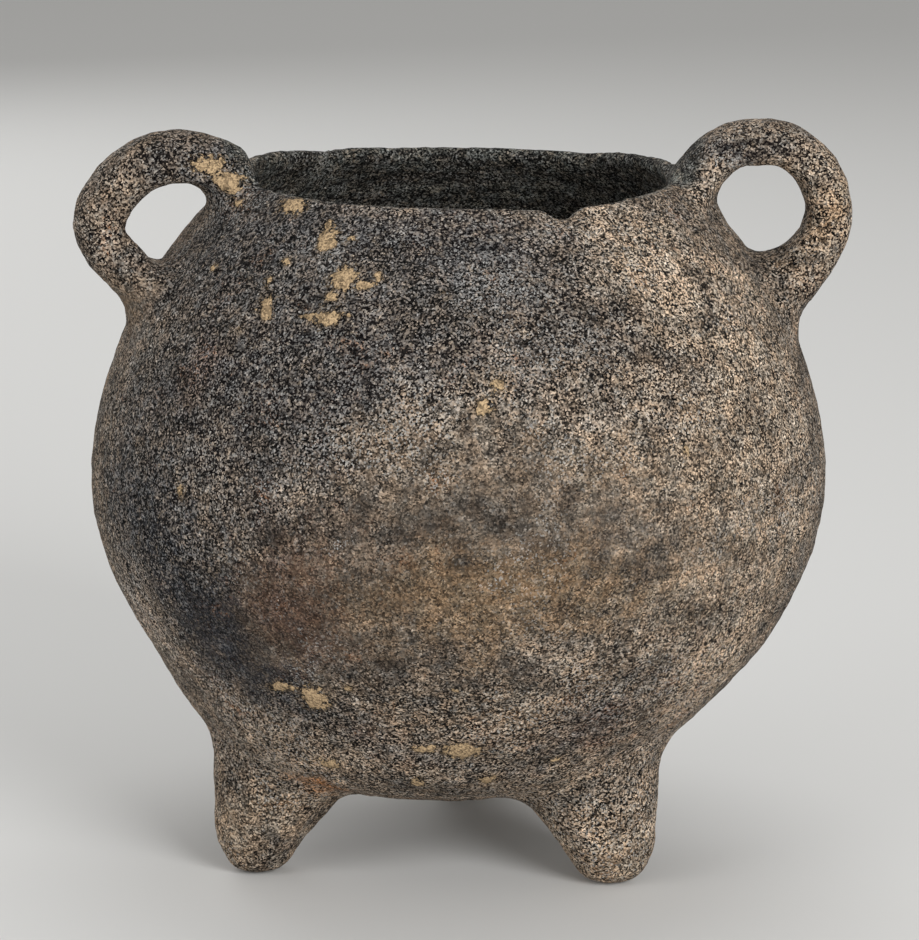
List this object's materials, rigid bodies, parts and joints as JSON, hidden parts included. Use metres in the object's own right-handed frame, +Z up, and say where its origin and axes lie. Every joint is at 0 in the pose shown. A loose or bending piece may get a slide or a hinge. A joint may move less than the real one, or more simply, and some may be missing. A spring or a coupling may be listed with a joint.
{
  "type": "tripod cooking pot",
  "caption": "Round hand-built clay cooking pot with a plain mouth, two upright loop handles on the rim and short stub feet, dark with soot.",
  "frame": {"origin": "on the ground that the feet stand on, under the middle of the pot's box", "axes": "+Z up, +X from the left handle to the right handle as seen from the front, +Y away from the front, which is the side with two feet and the chip in the rim"},
  "size_m": [0.209, 0.2, 0.2039],
  "materials": {
    "fired_clay": "rough unglazed gritty clay, sooted and dirty"
  },
  "bodies": {
    "root": {"pot": "fired_clay"}
  },
  "joints": []
}
